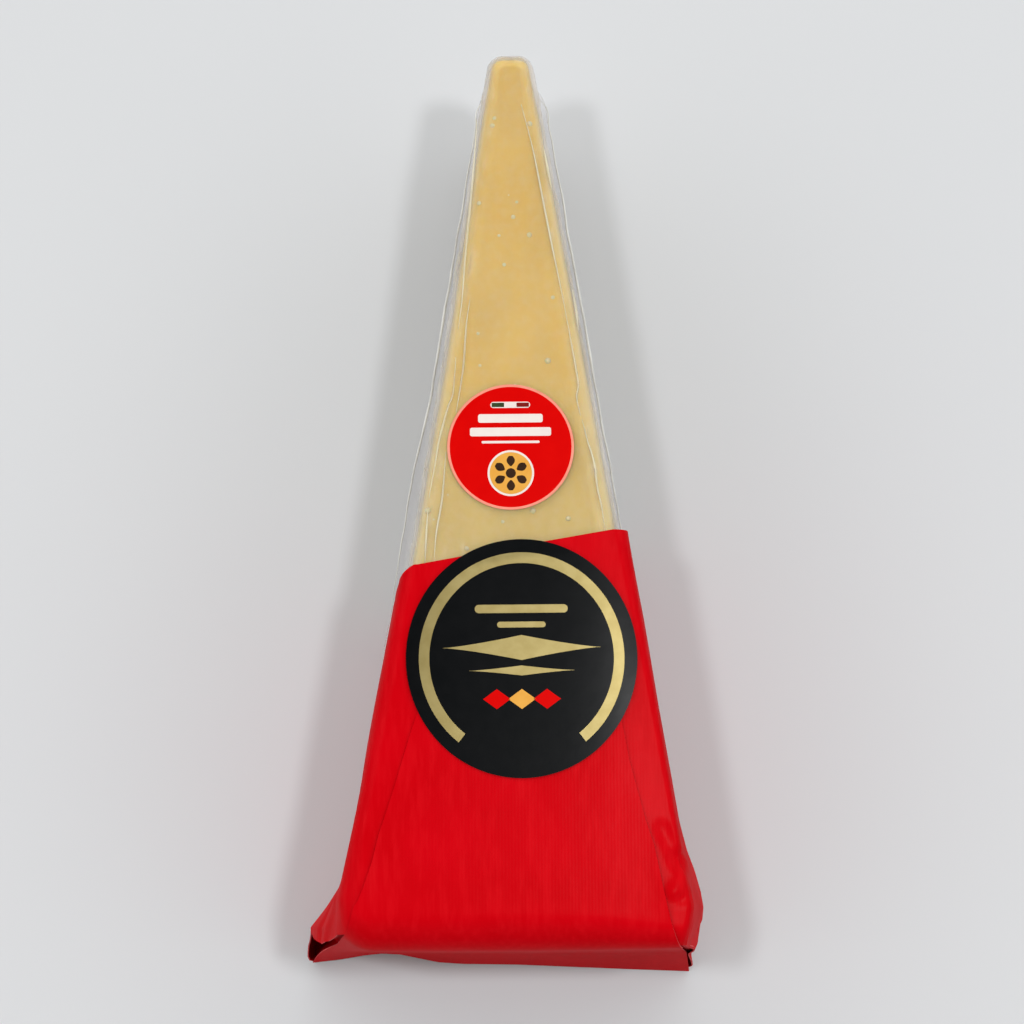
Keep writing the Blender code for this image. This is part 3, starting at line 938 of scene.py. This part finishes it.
move_points(flap.data, flap_waves)
settle(thicken(flap, PAPER_THICK, 1.0), 35)
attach(flap, "root")
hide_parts("paper_wrap")


# The inner panel: the sleeve's own end, folded in flat against the rind, just behind the end flap.
# Only its two ends show, the left one deep in the open fold and the right one in the gap beside the flap.
PANEL_BACK, PANEL_SLOPE = -98.4, 6.0
panel_rows = []
for z in spread(1.5, 82.0, 24):
    left = 1.6 - side_x(-1, -0.0970, z * MM) / MM
    right = side_x(1, -0.1036, z * MM) / MM - 0.5
    row = []
    for x in spread(left, right, 60):
        front = face_y(min(max(x, read_off(END_LEFT, z)), read_off(END_RIGHT, z)), z) + 0.8
        y = PANEL_BACK + (front - PANEL_BACK) * min(1.0, (x - left) / PANEL_SLOPE)
        row.append((x * MM, y * MM, z * MM))
    panel_rows.append(row)
panel = add_object(
    "paper_inner_panel", mesh_of_rows("paper_inner_panel", panel_rows), paper_finish, paper_edge_finish
)
settle(thicken(panel, PAPER_THICK, 1.0), 35)
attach(panel, "root")
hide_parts("paper_wrap")


# The small label: a round red sticker on the film, with a pale rim, a roundel, bars and a stripe.
# It is printed paper under a gloss varnish, and every print is a thin film of ink on it.
SMALL_AT, SMALL_RADIUS = (-0.0007, 0.0158), 0.0153
LABEL_THICK = 0.00012
INK = 0.00002


def lay_disc(name, radius, lay, rings, sides=96):
    """A round sheet of the given radius, each of its points put in place by lay(across, along)."""
    form = bmesh.new()
    middle = form.verts.new(Vector(lay(0.0, 0.0)) + wedge_at)
    inner = None
    for number in range(1, rings + 1):
        reach = radius * number / rings
        turns = [2 * math.pi * side / sides for side in range(sides)]
        places = [Vector(lay(reach * math.cos(a), reach * math.sin(a))) + wedge_at for a in turns]
        ring = [form.verts.new(place) for place in places]
        for i in range(sides):
            j = (i + 1) % sides
            form.faces.new((inner[i], ring[i], ring[j], inner[j]) if inner else (middle, ring[i], ring[j]))
        inner = ring
    mesh = bpy.data.meshes.new(name)
    form.to_mesh(mesh)
    form.free()
    return mesh


def stroke(path, widths):
    """A band along a path on a label, half as wide at each place as widths says."""
    rows = []
    for i, (x, y) in enumerate(path):
        ahead = Vector(path[min(i + 1, len(path) - 1)]) - Vector(path[max(i - 1, 0)])
        ahead.normalize()
        half = widths[i]
        rows.append([(x - ahead.y * half * k, y + ahead.x * half * k) for k in (-1.0, -0.5, 0.0, 0.5, 1.0)])
    return rows


def ellipse(x, y, half_long, half_wide, steps=28):
    """A filled ellipse as a stroke."""
    turns = [math.pi * i / steps for i in range(steps + 1)]
    path = [(x - half_long * math.cos(a), y) for a in turns]
    return stroke(path, [max(0.00002, half_wide * math.sin(a)) for a in turns])


def bar(x, y, half_long, half_wide, round_share=1.0):
    """A bar with round ends as a stroke."""
    ends = [math.radians(a) for a in spread(0, 90, 7)]
    end = half_wide * round_share
    path = [(x - half_long + end * (1 - math.cos(a)), y) for a in ends]
    widths = [half_wide - end + max(0.00002, end * math.sin(a)) for a in ends]
    middle = [(x + s, y) for s in spread(-half_long + end, half_long - end, 24)[1:-1]]
    path = path + middle + [(2 * x - px, y) for px, _ in reversed(path)]
    return stroke(path, widths + [half_wide] * len(middle) + widths[::-1])


def ring_band(radius, half_wide, start=0.0, end=360.0, steps=160):
    """A band that follows a circle, or a part of it, as a stroke."""
    turns = [math.radians(start + (end - start) * i / steps) for i in range(steps + 1)]
    rows = []
    for a in turns:
        reach = [radius + half_wide * k for k in (1.0, 0.5, 0.0, -0.5, -1.0)]
        rows.append([(r * math.cos(a), r * math.sin(a)) for r in reach])
    return rows


def print_ink(name, shapes, lay, lift, *finishes):
    """Thin prints of one colour on a label, from strokes."""
    form = bmesh.new()
    for rows in shapes:
        grid = []
        for row in rows:
            places = [Vector(lay(x, y)) + wedge_at + Vector((0, 0, lift)) for x, y in row]
            grid.append([form.verts.new(place) for place in places])
        for row, following in zip(grid, grid[1:]):
            for i in range(len(row) - 1):
                form.faces.new((following[i], following[i + 1], row[i + 1], row[i]))
    bmesh.ops.remove_doubles(form, verts=form.verts, dist=0.000002)
    mesh = bpy.data.meshes.new(name)
    form.to_mesh(mesh)
    form.free()
    printed = add_object(name, mesh, *finishes)
    wall = printed.modifiers.new("ink", "SOLIDIFY")
    wall.thickness = INK
    wall.offset = 1.0
    return settle(printed, 40)


def printed_finish(name, colour, other, shine=0.30, varnish=0.2, **numbers):
    """Printed ink under varnish, faintly uneven. shine is the varnish's roughness."""
    numbers = {"Roughness": 0.5, **numbers}
    finish, tree, shader = new_finish(
        name, Specular_IOR_Level=0.0, Coat_Weight=varnish, Coat_Roughness=shine, **numbers
    )
    tone = blend_colours(tree, mottle(tree, 300.0, 3.0, 0.3, 0.7).outputs[0], colour, other)
    tree.links.new(tone, shader.inputs["Base Color"])
    waves = mottle(tree, 120.0, 3.0, 0.2, 0.8).outputs[0]
    bump = node(tree, "ShaderNodeBump", {"Height": waves, "Strength": 0.12, "Distance": 0.0001})
    tree.links.new(bump.outputs[0], shader.inputs["Normal"])
    tree.links.new(bump.outputs[0], shader.inputs["Coat Normal"])
    return finish


def lay_small(x, y):
    """A place on the small label's sheet, flat on the film."""
    return (SMALL_AT[0] + x, SMALL_AT[1] + y, CHEESE_TOP + 0.0003)


red_ink = printed_finish("red label print", (0.700, 0.0010, 0.0008), (0.730, 0.0016, 0.0010), varnish=0.06)
salmon = printed_finish("label edge salmon", (0.93, 0.28, 0.20), (0.96, 0.36, 0.26), 0.4)
white_ink = printed_finish("white ink", (0.86, 0.76, 0.72), (0.90, 0.81, 0.76))
amber_ink = printed_finish("amber ink", (0.80, 0.37, 0.055), (0.86, 0.44, 0.080))
brown_ink = printed_finish("brown ink", (0.030, 0.014, 0.006), (0.050, 0.022, 0.010))
green_ink = printed_finish("green ink", (0.035, 0.055, 0.020), (0.050, 0.075, 0.028))
deep_red_ink = printed_finish("deep red ink", (0.20, 0.010, 0.008), (0.26, 0.014, 0.010))
label_small = add_object(
    "label_small_sheet", lay_disc("label_small_sheet", SMALL_RADIUS, lay_small, 10), red_ink, salmon
)
settle(thicken(label_small, LABEL_THICK, 1.0), 40)
roundel_y = -0.0064
stripe_y = 0.0103
small_prints = {
    "rim": ([ring_band(SMALL_RADIUS - 0.00030, 0.00030)], salmon),
    "pale_ring": ([ellipse(0, roundel_y, 0.0056, 0.0056)], white_ink),
    "roundel": ([ellipse(0, roundel_y, 0.0051, 0.0051)], amber_ink),
    "stripe_field": ([bar(0, stripe_y, 0.0048, 0.00075)], white_ink),
    "stripe_green": ([bar(-0.0030, stripe_y, 0.0015, 0.00052, 0.3)], green_ink),
    "stripe_red": ([bar(0.0030, stripe_y, 0.0015, 0.00052, 0.3)], deep_red_ink),
    "bars": (
        [
            bar(0, 0.0070, 0.0078, 0.00105, 0.5),
            bar(0, 0.0037, 0.0098, 0.00105, 0.5),
            bar(0, 0.0012, 0.0070, 0.00030),
        ],
        white_ink,
    ),
}
wheel = [ellipse(0, roundel_y, 0.0012, 0.0012)]
for number in range(6):
    a = math.radians(30 + 60 * number)
    steps = spread(0, 1, 9)
    reaches = [0.0017 + 0.0025 * s for s in steps]
    spoke = [(reach * math.cos(a), roundel_y + reach * math.sin(a)) for reach in reaches]
    wheel.append(stroke(spoke, [0.00016 + 0.00084 * math.sin(math.pi * s * 0.9) for s in steps]))
small_prints["wheel"] = (wheel, brown_ink)
layers = {"rim": 0.5, "roundel": 2, "wheel": 3, "stripe_green": 2, "stripe_red": 2}
small_pieces = [label_small]
for title, (shapes, finish) in small_prints.items():
    lift = LABEL_THICK + INK * 1.2 * (layers.get(title, 1) - 1) + 0.000004
    small_pieces.append(print_ink("label_small_" + title, shapes, lay_small, lift, finish))
for piece in small_pieces:
    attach(piece, "root")
    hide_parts("label_small")


# The large label: a round black sticker with gold foil, across the paper's mouth and its end flap.
# It is stiff varnished paper, and rolls down at both sides where the paper's edges do.
LARGE_AT, LARGE_RADIUS = (0.0015, -0.0354), 0.0286
LARGE_DRAWN_IN = 0.966
LABEL_UP = 0.00075
LABEL_LET_DOWN = 0.0005


def lay_large(x, y):
    """A place on the large label's sheet, which follows the top's crown and rolls over the paper's edges."""
    along = LARGE_AT[1] + y
    across = LARGE_AT[0] + x * LARGE_DRAWN_IN
    side = 1 if across > 0 else -1
    edge, roll = edge_x(side, along), read_off(EDGE_ROUND[side], along / MM) * MM + LABEL_UP
    flat = edge - roll + LABEL_UP
    past = abs(across) - flat
    if past > 0:
        turn = min(past / roll, math.radians(84))
        rest = max(0.0, past - roll * turn)
        out = flat + roll * math.sin(turn) + rest * math.cos(turn)
        drop = roll * (1 - math.cos(turn)) + rest * math.sin(turn)
    else:
        out, drop = abs(across), 0.0
    crown = PAPER_CROWN * (min(abs(across), flat) / edge) ** 4
    mouth = MOUTH_Y + MOUTH_SLANT * across
    let_down = LABEL_LET_DOWN * min(1.0, max(0.0, (along - mouth + 0.003) / 0.008))
    return (side * out, along, PAPER_TOP + LABEL_UP - crown - drop - let_down)


black_ink = printed_finish("black label print", (0.0040, 0.0046, 0.0052), (0.0055, 0.0060, 0.0066), 0.22)
label_core = printed_finish("label edge grey", (0.34, 0.30, 0.34), (0.42, 0.38, 0.42), 0.45)
gold_foil = printed_finish(
    "gold foil", (0.40, 0.315, 0.120), (0.47, 0.380, 0.160), varnish=0.05, Metallic=1.0, Roughness=0.43
)
label_large = add_object(
    "label_large_sheet",
    lay_disc("label_large_sheet", LARGE_RADIUS, lay_large, 26, 144),
    black_ink,
    label_core,
)
settle(thicken(label_large, LABEL_THICK, 1.0), 40)
RING_RADIUS, RING_HALF = 0.0241, 0.0013


def tapered(x, y, half_long, half_wide):
    """A slim lozenge with curved flanks as a stroke."""
    places = spread(-1, 1, 41)
    widths = [max(0.00003, half_wide * (1 - abs(s)) ** 1.3) for s in places]
    return stroke([(x + half_long * s, y) for s in places], widths)


def lozenge(x, y, half_long, half_wide):
    places = spread(-1, 1, 13)
    widths = [max(0.00002, half_wide * (1 - abs(s))) for s in places]
    return stroke([(x + half_long * s, y) for s in places], widths)


gold_shapes = [ring_band(RING_RADIUS, RING_HALF, -52, 232)]
gold_shapes += [tapered(0, 0.0025, 0.0195, 0.0030), tapered(0, -0.0030, 0.0130, 0.0012)]
gold_shapes += [bar(0, 0.0118, 0.0115, 0.0010), bar(0, 0.0080, 0.0060, 0.0007)]
large_prints = {
    "gold": (gold_shapes, gold_foil, 1),
    "red_lozenges": (
        [lozenge(-0.0062, -0.0098, 0.0034, 0.0024), lozenge(0.0062, -0.0098, 0.0034, 0.0024)],
        red_ink,
        1,
    ),
    "amber_lozenge": ([lozenge(0, -0.0098, 0.0034, 0.0024)], amber_ink, 1),
}
large_pieces = [label_large]
for title, (shapes, finish, layer) in large_prints.items():
    lift = LABEL_THICK + INK * 1.2 * (layer - 1) + 0.000004
    large_pieces.append(print_ink("label_large_" + title, shapes, lay_large, lift, finish))
for piece in large_pieces:
    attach(piece, "root")
    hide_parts("label_large")
